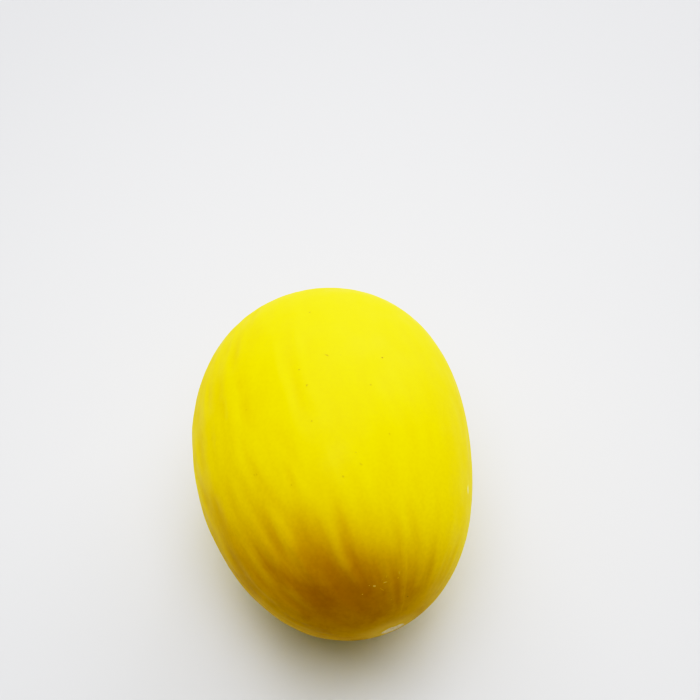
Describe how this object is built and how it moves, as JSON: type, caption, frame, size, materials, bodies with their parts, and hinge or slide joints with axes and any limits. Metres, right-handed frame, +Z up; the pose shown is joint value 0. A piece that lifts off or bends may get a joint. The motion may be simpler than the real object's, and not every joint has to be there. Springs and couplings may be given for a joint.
{
  "type": "canary melon",
  "caption": "Whole yellow melon lying on its side: an egg-shaped fruit with a waxy rind, soft furrows towards the stem end and a corky scar at either end.",
  "frame": {"origin": "on the surface that the melon lies on, under the middle of its length and width", "axes": "+Y along the fruit from the stem end to the blossom end, +X across it, +Z up from the face it rests on"},
  "size_m": [0.1502, 0.1958, 0.1485],
  "materials": {
    "rind": "satin"
  },
  "bodies": {
    "root": {"melon": "rind"}
  },
  "joints": []
}
